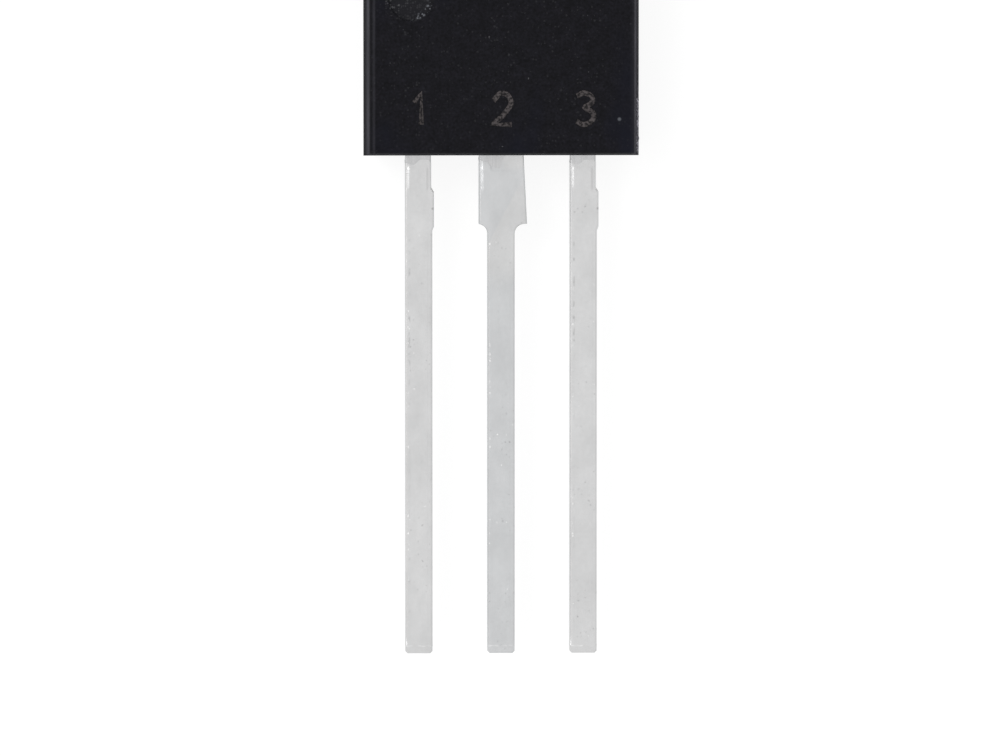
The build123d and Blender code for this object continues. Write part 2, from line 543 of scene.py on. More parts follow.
@dataclass(frozen=True)
class Finish:
    """What every finish has; the colour values are linear."""

    name: str
    colour: Colour
    roughness: float

    def material(self) -> bpy.types.Material:
        """Build the material the first time it is asked for.

        Returns:
            The material.
        """
        found = bpy.data.materials.get(self.name)
        if found is not None:
            return found
        material = bpy.data.materials.new(self.name)
        skin = Skin.on(material)
        skin.add("ShaderNodeOutputMaterial", {"Surface": self.dress(skin).outputs[0]})
        return material

    def dress(self, skin: Skin) -> bpy.types.Node:
        """Wire the finish and give its shader; each finish has its own."""
        raise NotImplementedError

    def tint(self, skin: Skin, level: Number) -> Socket:
        """Darken or lighten the finish's colour by a level that changes over the surface."""
        inputs = {0: self.colour[:3], "Scale": level}
        return skin.add("ShaderNodeVectorMath", inputs, operation="SCALE").outputs[0]


@dataclass(frozen=True)
class MouldedEpoxy(Finish):
    """Mineral-filled black epoxy with the spark-eroded grain of the mould.

    The flecks are places across and along the part, and the mark's place is counted from the
    body's lowest corner, all in millimetres.
    """

    blue_colour: Colour = (0.0063, 0.007, 0.014, 1)
    dust_colour: Colour = (0.022, 0.022, 0.025, 1)
    speck_colour: Colour = (0.075, 0.075, 0.08, 1)
    # colour of the flecks' grit and of the painted highlight on the ejector mark's rim
    grit_and_highlight_colour: Colour = (0.17, 0.18, 0.2, 1)
    chalk_colour: Colour = (0.36, 0.35, 0.41, 1)
    # colour of the painted highlights along the body's edges and walls
    edge_highlight_colour: Colour = (0.1, 0.098, 0.117, 1)
    wall_colour: Colour = (0.017, 0.017, 0.02, 1)
    wall_roughness: float = 0.93
    specular_level: float = 0.08
    grain_depth: float = 0.0035 * MM
    grain_strength: float = 0.6
    flecks: tuple[tuple[float, float], ...] = ((3.24, -5.735),)
    mark_place: tuple[float, float] = (1.3, 4.41)

    def dress(self, skin: Skin) -> bpy.types.Node:
        """Lay grain, filler specks, grit in the ejector mark with a painted rim highlight, painted
        edge highlights and a chalky right side.

        Args:
            skin: The material's bench.

        Returns:
            The shader.
        """
        low, high = (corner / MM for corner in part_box("mold_body"))
        grain = skin.mottle(per_mm=13.0, low=0.5, high=1.5, Detail=4.0)
        patches = skin.mottle(per_mm=3.0, low=0.7, high=1.3)
        clouds = skin.mottle(per_mm=0.5, Stretch=2.5).level
        walls = skin.band(TO_FRONT, -1.0, high.z - 0.06, blur=0.05)
        dust = skin.specks(per_mm=13.0, size=0.42, share=0.22)
        filler = skin.specks(per_mm=5.5, size=0.16, share=0.03)
        crumbs = skin.specks(per_mm=0.9, size=0.09, share=0.35)
        flecks = [skin.spot(x, y, edge=0.07, core=0.02, level=0.55) for x, y in self.flecks]
        faint, bright = self.ejector_mark(skin, low)
        layers = (
            (skin.ease(clouds, 0.5, 1.1), self.blue_colour),
            (walls, self.wall_colour),
            (skin.times(dust, skin.ease(clouds, 0.9, 0.1, 0.35, 1.0)), self.dust_colour),
            (skin.most(filler, crumbs), self.speck_colour),
            *((fleck, self.grit_and_highlight_colour) for fleck in flecks),
            (faint, self.speck_colour),
            # painted highlight on the lower right of the ejector mark's rim
            (bright, self.grit_and_highlight_colour),
            # painted highlights along the sides, not wear
            (self.painted_edge_highlights(skin, low, high), self.edge_highlight_colour),
            (self.chalky_side(skin, low, high), self.chalk_colour),
        )
        colour = self.tint(skin, skin.times(grain.level, patches.level))
        for share, over in layers:
            colour = skin.blend(share, colour, over)
        plain = skin.between(walls, self.roughness, self.wall_roughness)
        rough = skin.math("ADD", plain, skin.mottle(per_mm=6.0, low=-0.05, high=0.05).level)
        normal = skin.bump(grain.height, self.grain_depth, self.grain_strength)
        return skin.principled(colour, rough, Specular_IOR_Level=self.specular_level, Normal=normal)

    def ejector_mark(self, skin: Skin, low: Vector) -> tuple[Socket, Socket]:
        """Mask the grit in the ejector mark, thin inside and spilt to the left, and a painted
        highlight on the lower right of its rim.

        Args:
            skin: The material's bench.
            low: The body's lowest corner, in millimetres.

        Returns:
            The mask of the faint grit and that of the painted rim highlight.
        """
        right, up = self.mark_place
        radius, across, along = skin.lay(Nearness, X=low.x + right, Y=low.y + up)
        lower_right = skin.math("SUBTRACT", across, along)
        inside = skin.ease(radius, 0.68, 0.58, 0.0, 0.28)
        spill = skin.times(skin.ease(radius, 0.82, 0.58), skin.ease(lower_right, 0.4, -0.2))
        thin = skin.specks(per_mm=16.0, size=0.6, share=0.65)
        # painted highlight: bright specks on the lower right of the rim, where it faces the light
        rim = skin.times(skin.ease(radius, 0.42, 0.53), skin.ease(radius, 0.645, 0.58))
        thick = skin.specks(per_mm=14.0, size=0.6, share=0.8)
        faint = skin.times(skin.most(inside, spill), thin)
        return faint, skin.times(rim, skin.ease(lower_right, 0.35, 0.75), thick)

    def painted_edge_highlights(self, skin: Skin, low: Vector, high: Vector) -> Socket:
        """Mask the painted highlights: pale lines along the sides, on both walls and on the front
        beside its edges.

        Args:
            skin: The material's bench.
            low: The body's lowest corner, in millimetres.
            high: The body's highest corner, in millimetres.

        Returns:
            The mask.
        """
        left_side = skin.band(TO_RIGHT, low.x - 1.0, low.x + 0.2, blur=0.02)
        left_wall = skin.times(skin.band(TO_FRONT, 2.08, 2.66, blur=0.12), left_side)
        right_side = skin.band(TO_RIGHT, high.x - 0.2, high.x + 1.0, blur=0.02)
        right_wall = skin.times(skin.band(TO_FRONT, 2.3, 2.69, blur=0.08), right_side)
        # painted highlight where the rounded left edge meets the front
        line = skin.band(TO_RIGHT, low.x + 0.22, low.x + 0.33, blur=0.05)
        haze = skin.band(TO_RIGHT, high.x - 0.32, high.x + 0.1, blur=0.2)
        on_front = skin.times(skin.most(line, haze), 0.24)
        uneven = skin.mottle(per_mm=1.5, low=0.3, high=1.0, Detail=4.0, Stretch=3.0).level
        return skin.times(skin.most(left_wall, right_wall, on_front), uneven)

    def chalky_side(self, skin: Skin, low: Vector, high: Vector) -> Socket:
        """Mask the broken, chalky spots down the right side, thickest near the leads.

        Args:
            skin: The material's bench.
            low: The body's lowest corner, in millimetres.
            high: The body's highest corner, in millimetres.

        Returns:
            The mask.
        """
        wall = skin.band(TO_RIGHT, high.x - 0.14, high.x + 0.3, blur=0.03)
        lower = skin.band(TO_TIPS, -low.y - 3.2, -low.y + 1.5, blur=1.4)
        parting = skin.band(TO_FRONT, 1.3, 2.1, blur=0.25)
        return skin.times(wall, lower, parting, skin.specks(per_mm=8.0, size=0.8, share=0.45))


@dataclass(frozen=True)
class MarkedEpoxy(Finish):
    """Epoxy that a laser has turned grey, in dots."""

    dark_colour: Colour = (0.014, 0.013, 0.014, 1)
    grain_depth: float = 0.004 * MM
    specular_level: float = 0.1

    def dress(self, skin: Skin) -> bpy.types.Node:
        """Set grey and black grains side by side.

        Args:
            skin: The material's bench.

        Returns:
            The shader.
        """
        grain = skin.mottle(per_mm=14.0, low=-0.5, high=1.5)
        share = skin.within(grain.level)
        colour = skin.blend(share, self.dark_colour, self.colour)
        rough = skin.between(share, self.roughness + 0.1, self.roughness)
        normal = skin.bump(grain.height, self.grain_depth)
        return skin.principled(colour, rough, Specular_IOR_Level=self.specular_level, Normal=normal)


@dataclass(frozen=True)
class RolledMetal(Finish):
    """Plated strip metal with fine rolling lines along Y and faint stains."""

    line_depth: float = 0.0006 * MM

    def dress(self, skin: Skin) -> bpy.types.Node:
        """Lay lines, stains and pores on bare metal.

        Args:
            skin: The material's bench.

        Returns:
            The shader.
        """
        lines = skin.mottle(per_mm=26.0, low=0.94, high=1.06, Stretch=24.0)
        stains = skin.mottle(per_mm=1.3, low=0.97, high=1.02, Detail=4.0).level
        pores = skin.specks(per_mm=6.0, size=0.16, share=0.12)
        tone = skin.times(lines.level, stains, skin.ease(pores, 0.0, 1.0, 1.0, 0.8))
        rough = skin.mottle(per_mm=3.0, low=self.roughness - 0.05, high=self.roughness + 0.07).level
        normal = skin.bump(lines.height, self.line_depth)
        return skin.principled(self.tint(skin, tone), rough, Metallic=1.0, Normal=normal)


@dataclass(frozen=True)
class DippedTin(Finish):
    """Hot-dipped tin: satin, cloudy, pitted in patches, with marks at set places.

    Places are in millimetres. The painted shadows of the notches and the sheared corners are given
    across and along the part, the corners with how pale they are, and the stems by where their
    middles stand.
    """

    # colour of bead marks, bright grains, sheared corners and of the painted highlights inside the
    # left edges and on the tip's ridge
    bead_and_highlight_colour: Colour = (0.95, 0.95, 0.94, 1)
    pit_depth: float = 0.75
    darkest: float = 0.72
    unevenness: float = 0.002 * MM
    # painted shadows beside the small notches in the stubs
    nick_shadows: tuple[tuple[float, float], ...] = ()
    stems: tuple[float, ...] = ()
    dashes: float = 0.7
    # how dark the painted shade inside each stem's right edge is
    right_edge_shade: float = 0.16
    sheared: tuple[Triple, ...] = ()
    sheared_roughness: float = 0.85

    def dress(self, skin: Skin) -> bpy.types.Node:
        """Lay clouds, pits, painted notch shadows, marked stems with painted edge light and shade, a
        painted highlight on the tip's ridge and bright grains on a soft satin.

        Args:
            skin: The material's bench.

        Returns:
            The shader.
        """
        front = skin.band(TO_FRONT, 1.44, 3.0, blur=0.04)
        # first mask: dark dashes and the painted shade inside the right edges; second: bead marks
        # and the painted highlight inside the left edges
        ragged, beads_and_highlight = self.margins(skin, front)
        pitted = skin.within(skin.mottle(per_mm=0.7, low=-0.5, high=1.3, Detail=2.0).level)
        pits = skin.times(skin.specks(per_mm=9.0, size=0.3, share=0.45), pitted, self.pit_depth)
        # painted shadows beside the small notches in the stubs
        nick_shadows = [skin.times(skin.spot(x, y, edge=0.05, core=0.02), front) for x, y in self.nick_shadows]
        dark = skin.ease(skin.most(pits, ragged, *nick_shadows), 0.0, 1.0, 1.0, self.darkest)
        grains = skin.times(skin.specks(per_mm=7.0, size=0.16, share=0.18), pitted)
        drop = skin.mottle(per_mm=9.0, low=-0.15, high=0.35).level
        # painted highlight: a bright line along the ridge that the last drop leaves above the tip
        ring = skin.times(skin.band(TO_TIPS, 20.46, 20.53, blur=0.025), drop)
        corners = [skin.spot(x, y, edge=0.12, core=0.09) for x, y, _ in self.sheared]
        shine = [skin.times(spot, sheared[2]) for spot, sheared in zip(corners, self.sheared)]
        clouds = skin.mottle(per_mm=1.6, low=0.94, high=1.06, Detail=5.0, Stretch=1.6).level
        frost = skin.mottle(per_mm=9.0, low=0.985, high=1.015, Detail=2.0).level
        tin = self.coloured(skin, skin.times(clouds, frost, dark))
        colour = skin.blend(skin.most(ring, grains, beads_and_highlight, *shine), tin, self.bead_and_highlight_colour)
        rough = skin.mottle(per_mm=4.0, low=self.roughness - 0.04, high=self.roughness + 0.04).level
        for spot in corners:
            rough = skin.between(spot, rough, self.sheared_roughness)
        normal = skin.bump(skin.mottle(per_mm=4.0, Detail=2.0).height, self.unevenness)
        return skin.principled(colour, rough, Metallic=1.0, Normal=normal)

    def margins(self, skin: Skin, front: Socket) -> tuple[Socket, Socket]:
        """Mask what runs along the fronts of the stems.

        Ragged dark dashes and pale bead marks that are partly a painted highlight stand inside the
        left edge, a fine line of painted shade inside the right one.

        Args:
            skin: The material's bench.
            front: Mask of the lead's front.

        Returns:
            The mask of the dark marks and painted shade, and that of the bead marks and painted
            highlight.
        """
        fading = skin.band(TO_TIPS, 8.0, 14.0, blur=4.0)
        tears = skin.within(skin.mottle(per_mm=5.0, low=-1.3, high=1.5, Detail=4.0).level)
        torn = skin.times(tears, skin.ease(fading, 0.0, 0.5, 0.4 * self.dashes, self.dashes))
        dark, pale = [0.0], [0.0]
        for middle in self.stems:
            left, right = middle - LEAD_HALF_WIDTH / MM, middle + LEAD_HALF_WIDTH / MM
            inside_left = skin.band(TO_RIGHT, left + 0.06, left + 0.16, blur=0.04)
            # painted shade: a fine dark line inside the right edge, where the coat slopes away from
            # the light
            inside_right = skin.band(TO_RIGHT, right - 0.15, right - 0.1, blur=0.02)
            dark += [skin.times(inside_left, torn), skin.times(inside_right, self.right_edge_shade)]
            # pale band inside the left edge, the side facing the light: bead marks and a painted
            # highlight
            pale.append(skin.band(TO_RIGHT, left + 0.03, left + 0.11, blur=0.03))
        zone = skin.times(skin.band(TO_TIPS, 8.9, 20.3, blur=0.3), front)
        drops = skin.specks(per_mm=12.0, size=0.5, share=0.3)
        runs = skin.within(skin.mottle(per_mm=0.8, low=-1.0, high=1.6, Detail=2.0).level)
        return skin.times(skin.most(*dark), zone), skin.times(skin.most(*pale), drops, runs, zone)

    def coloured(self, skin: Skin, tone: Socket) -> Socket:
        """Give the tin's colour, darkened by the tone; plain here."""
        return self.tint(skin, tone)


@dataclass(frozen=True)
class FacetedTin(DippedTin):
    """Dipped tin on the wide lead, with painted light: a shade warmer and lighter past a slanting
    border and in the upper right.
    """

    # tint of the painted light on the facet and below the body
    light_tint: Triple = (1.04, 1.03, 1.018)
    past_border: Triple = (0.884, -0.468, 0.0)

    def coloured(self, skin: Skin, tone: Socket) -> Socket:
        """Multiply the plain colour by the light tint inside the two zones of painted light.

        Args:
            skin: The material's bench.
            tone: What the colour is multiplied by.

        Returns:
            The colour.
        """
        # painted light: lighter and warmer past the slanting border, as on a facet turned to the
        # light, and just below the body on the right
        facet = skin.band(self.past_border, 4.0, 9.0, blur=0.03)
        lower = skin.times(facet, skin.band(TO_TIPS, 7.2, 10.6, blur=0.8))
        right = skin.band(TO_RIGHT, 0.0, 0.7, blur=0.12)
        upper = skin.times(skin.band(TO_TIPS, 6.5, 7.3, blur=0.25), right)
        plain = self.tint(skin, tone)
        lit_tin = skin.vector("MULTIPLY", plain, self.light_tint)["Vector"]
        return skin.blend(skin.most(lower, upper), plain, lit_tin)


@dataclass(frozen=True)
class PolishedSilicon(Finish):
    """Diced silicon with two metallised bond areas."""

    metal_colour: Colour = (0.75, 0.75, 0.76, 1)
    metal_roughness: float = 0.35
    lanes_per_mm: float = 0.55

    def dress(self, skin: Skin) -> bpy.types.Node:
        """Set bright fields with dark lanes between them on the dark crystal.

        Args:
            skin: The material's bench.

        Returns:
            The shader.
        """
        inputs = {"Vector": skin.place, "Scale": self.lanes_per_mm / MM, "Distortion": 0.0}
        lanes = skin.add("ShaderNodeTexWave", inputs, bands_direction="X").outputs["Fac"]
        share = skin.ease(lanes, 0.25, 0.35)
        grain = skin.mottle(per_mm=20.0, low=0.92, high=1.08).level
        colour = skin.blend(share, self.tint(skin, grain), self.metal_colour)
        rough = skin.between(share, self.roughness, self.metal_roughness)
        return skin.principled(colour, rough, Metallic=share)


@dataclass(frozen=True)
class Finishes:
    """Every finish of the part."""

    body: Finish = MouldedEpoxy("moulded_epoxy", (0.0063, 0.0061, 0.0086, 1), 0.36)
    mark: Finish = MarkedEpoxy("laser_marked_epoxy", (0.085, 0.075, 0.076, 1), 0.6)
    broken: Finish = MarkedEpoxy(
        "broken_epoxy", (0.62, 0.6, 0.68, 1), 0.7, dark_colour=(0.08, 0.078, 0.09, 1)
    )
    strip: Finish = RolledMetal("nickel_plated_strip", (0.56, 0.56, 0.565, 1), 0.2)
    outer_coat: Finish = DippedTin(
        "dipped_tin", (0.64, 0.64, 0.642, 1), 0.19,
        stems=(-LEAD_PITCH / MM, LEAD_PITCH / MM),
        # where the notch shadows are painted
        nick_shadows=((-1.9, -8.28), (2.69, -8.28)),
        sheared=((-1.84, -7.718, 1.0), (2.74, -7.718, 0.3)),
    )
    middle_coat: Finish = FacetedTin(
        "dipped_tin_greyer", (0.595, 0.602, 0.61, 1), 0.2, stems=(0.0,), dashes=0.1
    )
    die_bond: Finish = DippedTin("die_attach_solder", (0.5, 0.5, 0.49, 1), 0.45)
    die: Finish = PolishedSilicon("polished_silicon", (0.1, 0.11, 0.14, 1), 0.12)
    wire: Finish = RolledMetal("drawn_aluminium_wire", (0.8, 0.8, 0.81, 1), 0.25)


FINISH = Finishes()


def dress(piece: bpy.types.Object, finish: Finish) -> None:
    """Give a new piece or a CAD node its finish alone, and report it.

    Args:
        piece: The mesh object.
        finish: Its finish.
    """
    piece.data.materials.clear()
    piece.data.materials.append(finish.material())
    LOG.info("%s: %d faces, %s", piece.name, len(piece.data.polygons), finish.name)


def finish_piece(piece: bpy.types.Object, finish: Finish) -> None:
    """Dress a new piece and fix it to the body.

    Args:
        piece: The finished mesh object.
        finish: Its finish.
    """
    dress(piece, finish)
    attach(piece, ROOT_BODY)


# ---------------------------------------------------------------- the part


class Corner(Enum):
    """How a stroke passes one of its points."""

    ROUND = "AUTO"
    SHARP = "VECTOR"


ROUND, SHARP = Corner.ROUND, Corner.SHARP

# Each number's stroke, as points across and up in heights of a number.
NUMBER_STROKES = {
    1: ((-0.17, 0.7, SHARP), (0.05, 1.0, SHARP), (0.05, 0.0, SHARP)),
    2: (
        (-0.28, 0.76, SHARP), (0.0, 1.0, ROUND), (0.27, 0.74, ROUND), (0.14, 0.44, ROUND),
        (-0.3, 0.0, SHARP), (0.3, 0.0, SHARP),
    ),
    3: (
        (-0.26, 0.9, SHARP), (0.0, 1.0, ROUND), (0.24, 0.77, ROUND), (-0.02, 0.54, SHARP),
        (0.28, 0.28, ROUND), (0.0, 0.0, ROUND), (-0.28, 0.1, SHARP),
    ),
}


@dataclass
class MouldedBody:
    """The moulding with what the mould, the laser and the trimming leave on it."""

    node: str = "mold_body"
    number_height: float = 0.87 * MM
    number_foot: float = 0.92 * MM
    number_thickness: float = 0.004 * MM
    stroke_width: float = 0.15 * MM
    wall_draft: float = math.radians(7.5)
    parting_height: float = 1.55 * MM
    end_slope: float = 0.11 * MM
    scar_length: float = 1.5 * MM
    scar_width: float = 0.75 * MM
    scar_relief: float = 0.05 * MM
    scar_thickness: float = 0.06 * MM
    scar_cells: tuple[int, int] = (36, 72)
    crumb_size: float = 0.11 * MM

    def __post_init__(self) -> None:
        """Read the body's corners from the frame."""
        self.low, self.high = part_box(self.node)

    def build(self) -> None:
        """Dress the moulding, number the leads and roughen the gate's scar."""
        dress(frame["nodes"][self.node], FINISH.body)
        for pin in NUMBER_STROKES:
            self.pin_number(pin)
        self.gate_scar()

    def pin_number(self, pin: int) -> None:
        """Mark a lead's number on the front face above it, with one laser stroke.

        Args:
            pin: The lead's number, from the left.
        """
        bpy.ops.object.select_all(action="DESELECT")
        bpy.ops.curve.primitive_bezier_curve_add()
        curve = bpy.context.object.data
        strokes = NUMBER_STROKES[pin]
        points = curve.splines[0].bezier_points
        points.add(len(strokes) - len(points))
        for point, (across, up, corner) in zip(points, strokes, strict=True):
            point.co = (across * self.number_height, up * self.number_height, 0)
            point.handle_left_type = point.handle_right_type = corner.value
        curve.bevel_depth = self.stroke_width / 2
        curve.bevel_resolution = 2
        curve.use_fill_caps = True
        bpy.ops.object.convert(target="MESH")
        number = bpy.context.object
        number.name = number.data.name = f"pin_number_{pin}"
        number.scale.z = self.number_thickness / (self.stroke_width / 2)
        number.location = ((pin - 2) * LEAD_PITCH, self.low.y + self.number_foot, self.high.z)
        bpy.ops.object.transform_apply(location=True, rotation=False, scale=True)
        with editing(number):
            bpy.ops.mesh.remove_doubles(threshold=MERGE_DISTANCE)
            bpy.ops.mesh.normals_make_consistent(inside=False)
        finish_piece(number, FINISH.mark)

    def gate_scar(self) -> None:
        """Raise the crumbs where the mould's gate broke off, low on the right side."""
        half_width, half_length = self.scar_width / 2, self.scar_length / 2
        centre = Vector((
            self.high.x - half_width * math.tan(self.wall_draft),
            self.low.y + self.end_slope + half_length,
            self.parting_height + half_width,
        ))
        columns, rows = self.scar_cells
        bpy.ops.object.select_all(action="DESELECT")
        bpy.ops.mesh.primitive_grid_add(
            x_subdivisions=columns, y_subdivisions=rows, size=1,
            location=centre, rotation=(0, math.pi / 2 - self.wall_draft, 0),
        )
        scar = bpy.context.object
        scar.name = scar.data.name = "gate_scar"
        scar.scale = (self.scar_width, self.scar_length, 1)
        bpy.ops.object.transform_apply(location=True, rotation=True, scale=True)

        def weight(place: Vector) -> float:
            """Full along the parting line, nothing at the scar's ends and at its top."""
            ends = smooth_step(1.0, 0.85, abs(place.y - centre.y) / half_length)
            return ends * smooth_step(1.0, 0.2, (place.z - centre.z) / half_width)

        weigh(scar, "crumbs", weight)
        crumbs = bpy.data.textures.new("gate_crumbs", "CLOUDS")
        crumbs.noise_scale = self.crumb_size
        crumbs.noise_depth = 3
        crumbs.noise_type = "HARD_NOISE"
        apply_modifier(
            scar, "DISPLACE", texture=crumbs, strength=self.scar_relief, mid_level=0.35,
            texture_coords="LOCAL", vertex_group="crumbs",
        )
        apply_modifier(scar, "SOLIDIFY", thickness=self.scar_thickness, offset=-1.0)
        finish_piece(scar, FINISH.broken)


@dataclass
class LeadCoat:
    """Solder coat of one lead: a thin skin from a wavy dip line below the body to the tip.

    The dip line's points are a share across the lead, from its left, and a depth below the body.
    A ramp is how far inside an edge of the front the coat starts to rise, and has risen. Rows are
    the cuts across the lead, with the fine ones where the coat swells and at the tip's ring.
    """

    node: str
    name: str
    finish: Finish
    left: float
    right: float
    dip_line: tuple[tuple[float, float], ...]
    swell_end: float
    strips: int = 24
    thickness: float = 0.006 * MM
    line_lean: float = math.radians(7.5)
    crown_height: float = 0.0025 * MM
    swell_height: float = 0.017 * MM
    swell_blend: float = 0.12 * MM
    left_ramp: tuple[float, float] = (0.05 * MM, 0.12 * MM)
    right_ramp: tuple[float, float] = (0.1 * MM, 0.165 * MM)
    left_drop: tuple[float, float] = (0.12, 0.35)
    tip_ring_rise: float = 0.21 * MM
    tip_ring_height: float = 0.008 * MM
    tip_ring_reach: float = 0.035 * MM
    spare_top: float = 0.08 * MM
    line_gap: float = 0.02 * MM
    tip_gap: float = 0.05 * MM
    row_step: float = 0.3 * MM
    swell_row_step: float = 0.06 * MM
    ring_row_step: float = 0.03 * MM
    swell_margin: float = 0.3 * MM
    ring_zone: float = 0.45 * MM

    def __post_init__(self) -> None:
        """Read the frame's heights and how high and low the dip line reaches."""
        low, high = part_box(self.node)
        self.body_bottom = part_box("mold_body")[0].y
        self.tip, self.front = low.y, high.z
        self.back_rise = math.tan(self.line_lean)
        depths = [depth for _, depth in self.dip_line]
        self.shallowest, self.all_dipped = min(depths), max(depths) + self.line_gap

    def share_across(self, x: float) -> float:
        """Say where a place stands across the lead, from 0 at its left to 1 at its right."""
        return (x - self.left) / (self.right - self.left)

    def dip_depth(self, share: float) -> float:
        """Say how far below the body the coat starts.

        Args:
            share: Place across the lead, 0 at its left and 1 at its right.

        Returns:
            The distance, in metres.
        """
        for (start, depth), (end, next_depth) in pairwise(self.dip_line):
            if share <= end:
                return depth + (next_depth - depth) * smooth_step(start, end, share)
        return self.dip_line[-1][1]

    def dip_point(self, x: float) -> Vector:
        """Give the point of the dip line at a place across the lead's front."""
        return Vector((x, self.body_bottom - self.dip_depth(self.share_across(x)), self.front))

    def is_bare(self, centre: Vector) -> bool:
        """Say whether a face lies above the dip line, which leans over the lead's sides."""
        line = self.dip_point(min(max(centre.x, self.left), self.right))
        return centre.y > line.y + self.back_rise * (self.front - centre.z)

    def row_heights(self) -> list[float]:
        """Give the heights of the cuts across the lead, close together where the coat is uneven.

        Returns:
            Places along Y.
        """
        rows = []
        y = self.body_bottom - self.all_dipped
        while y > self.tip + self.tip_gap:
            rows.append(y)
            if self.body_bottom - y < self.swell_end + self.swell_margin:
                y -= self.swell_row_step
            elif y < self.tip + self.ring_zone:
                y -= self.ring_row_step
            else:
                y -= self.row_step
        return rows

    def build(self) -> None:
        """Make the coat from a copy of the lead's own skin."""
        coat = copy_of_node(self.node, self.name)
        self.trim(coat)
        apply_modifier(coat, "SOLIDIFY", thickness=self.thickness, offset=1.0, use_even_offset=True)
        self.swell(coat)
        select_only(coat)
        bpy.ops.object.shade_smooth_by_angle(angle=SMOOTH_ANGLE)
        finish_piece(coat, self.finish)

    def trim(self, coat: bpy.types.Object) -> None:
        """Cut the copy into rows and strips and cut away what the dip didn't reach.

        Args:
            coat: The copy of the lead.
        """
        top = self.body_bottom - self.shallowest + self.spare_top
        width = self.right - self.left
        borders = [self.left + width * i / self.strips for i in range(self.strips + 1)]
        with editing(coat):
            cut(Vector((0, top, 0)), Vector((0, 1, 0)), drop_far_side=True)
            cut_everywhere(borders[1:-1], Vector((1, 0, 0)))
            cut_everywhere(self.row_heights(), Vector((0, 1, 0)))
            for start, end in pairwise(borders):
                first = start if start > borders[0] else -math.inf
                last = end if end < borders[-1] else math.inf
                select_faces(coat, lambda centre, a=first, b=last: a < centre.x < b)
                line = self.dip_point(end) - self.dip_point(start)
                normal = Vector((-line.y, line.x, self.back_rise * line.x)).normalized()
                cut(self.dip_point(start), normal)
            select_faces(coat, self.is_bare)
            bpy.ops.mesh.delete(type="FACE")

    def swell(self, coat: bpy.types.Object) -> None:
        """Let the coat stand thicker where the solder gathers.

        Args:
            coat: The coat, already with its thickness.
        """
        for name, weight, height, direction in (
            ("crown", self.crown, self.crown_height, "Z"),
            ("gathered", self.gathered, self.swell_height, "Z"),
            ("ring", self.ring, self.tip_ring_height, "NORMAL"),
        ):
            weigh(coat, name, weight)
            apply_modifier(
                coat, "DISPLACE",
                strength=height, mid_level=0.0, direction=direction, vertex_group=name,
            )

    def crown(self, place: Vector) -> float:
        """Weigh the crown: full inside the ramps of the front face, nothing at its edges.

        Args:
            place: A point of the coat.

        Returns:
            The weight.
        """
        if place.z < self.front + self.thickness / 2:
            return 0.0
        left = smooth_step(*(self.left + inset for inset in self.left_ramp), place.x)
        right = smooth_step(*(self.right - inset for inset in self.right_ramp), place.x)
        return left * right

    def gathered(self, place: Vector) -> float:
        """Weigh the thick zone, which starts at the dip line and ends well below it.

        Args:
            place: A point of the coat.

        Returns:
            The weight.
        """
        depth = self.body_bottom - place.y
        share = self.share_across(place.x)
        first = self.dip_line[0][1]
        border = first + (self.all_dipped - first) * smooth_step(*self.left_drop, share)
        start = max(self.dip_depth(share), border)
        begun = smooth_step(start, start + self.swell_blend, depth)
        open_end = smooth_step(self.swell_end, self.swell_end - self.swell_blend, depth)
        return self.crown(place) * begun * open_end

    def ring(self, place: Vector) -> float:
        """Weigh the ridge that the last drop leaves above the tip."""
        return max(0.0, 1 - abs(place.y - self.tip - self.tip_ring_rise) / self.tip_ring_reach)


@dataclass
class LeadSet:
    """The three leads, dressed as plated strip, and their solder coats."""

    outer_line: tuple[tuple[float, float], ...] = (
        (0.0, 0.21 * MM), (0.3, 0.26 * MM), (0.57, 0.12 * MM), (0.84, 0.12 * MM), (1.0, 0.25 * MM)
    )
    middle_line: tuple[tuple[float, float], ...] = (
        (0.0, 0.14 * MM), (0.14, 0.17 * MM), (0.36, 0.35 * MM), (0.47, 0.35 * MM),
        (0.58, -0.005 * MM), (1.0, -0.005 * MM),
    )
    outer_swell_end: float = 1.03 * MM
    middle_swell_end: float = 1.12 * MM
    root_left: float = 0.615 * MM
    root_right: float = 0.625 * MM

    def outer_coat(self, kind: str, middle: float) -> LeadCoat:
        """Describe the coat of an outer lead.

        Args:
            kind: What the lead is.
            middle: Where the middle of its stem stands.

        Returns:
            The coat.
        """
        return LeadCoat(
            f"{kind}_lead", f"{kind}_lead_solder", FINISH.outer_coat,
            middle - LEAD_HALF_WIDTH, middle + LEAD_HALF_WIDTH,
            self.outer_line, self.outer_swell_end,
        )

    def middle_coat(self) -> LeadCoat:
        """Describe the coat of the middle lead, which is wide at its root.

        Returns:
            The coat.
        """
        return LeadCoat(
            "collector_frame", "collector_lead_solder", FINISH.middle_coat,
            -self.root_left, self.root_right, self.middle_line, self.middle_swell_end,
            strips=40, swell_height=0.023 * MM,
            left_ramp=(0.045 * MM, 0.135 * MM), right_ramp=(0.0, 0.4 * MM),
        )

    def build(self) -> None:
        """Dress the CAD leads, then coat them, from left to right."""
        coats = (
            self.outer_coat("base", -LEAD_PITCH),
            self.middle_coat(),
            self.outer_coat("emitter", LEAD_PITCH),
        )
        for coat in coats:
            dress(frame["nodes"][coat.node], FINISH.strip)
        for coat in coats:
            coat.build()


@dataclass
class InnerWorks:
    """What the moulding hides: solder, die and bond wires."""

    finishes: tuple[tuple[str, Finish], ...] = (
        ("die_solder", FINISH.die_bond),
        ("silicon_die", FINISH.die),
        ("base_bond_wire", FINISH.wire),
        ("emitter_bond_wire", FINISH.wire),
    )

    def build(self) -> None:
        """Dress the hidden nodes."""
        for node, finish in self.finishes:
            dress(frame["nodes"][node], finish)


# ---------------------------------------------------------------- floor, light and camera


